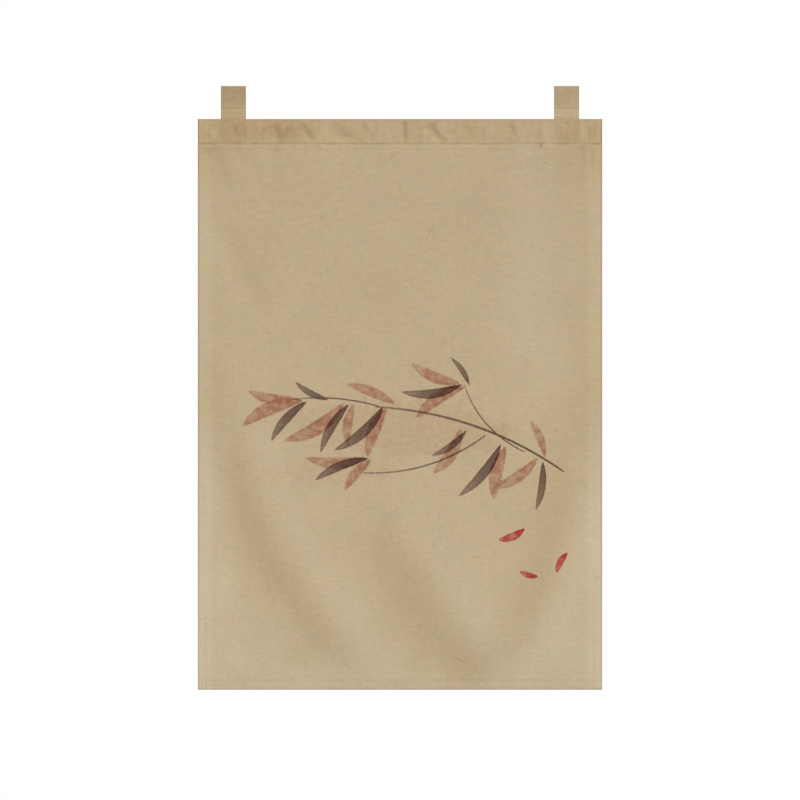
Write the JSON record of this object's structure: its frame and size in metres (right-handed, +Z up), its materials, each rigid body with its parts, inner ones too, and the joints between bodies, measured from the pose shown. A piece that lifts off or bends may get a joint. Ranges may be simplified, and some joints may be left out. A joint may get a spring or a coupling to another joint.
{
  "type": "noren curtain",
  "caption": "Hung cloth door curtain in one panel, with a stitched rod pocket along its top edge and sewn hanging loops above it.",
  "frame": {"origin": "top of the hanging loops, midway between them", "axes": "+Z up, -Y out of the front face, +X to the right seen from the front"},
  "size_m": [0.8504, 0.0274, 1.2697],
  "materials": {
    "panel_cloth": "matt plain-woven cotton and linen with a slubbed, fibre-flecked ground",
    "tab_cloth": "the same matt cloth, doubled and a shade darker"
  },
  "bodies": {
    "root": {"panel": "panel_cloth", "tab_left": "tab_cloth", "tab_right": "tab_cloth"}
  },
  "joints": []
}
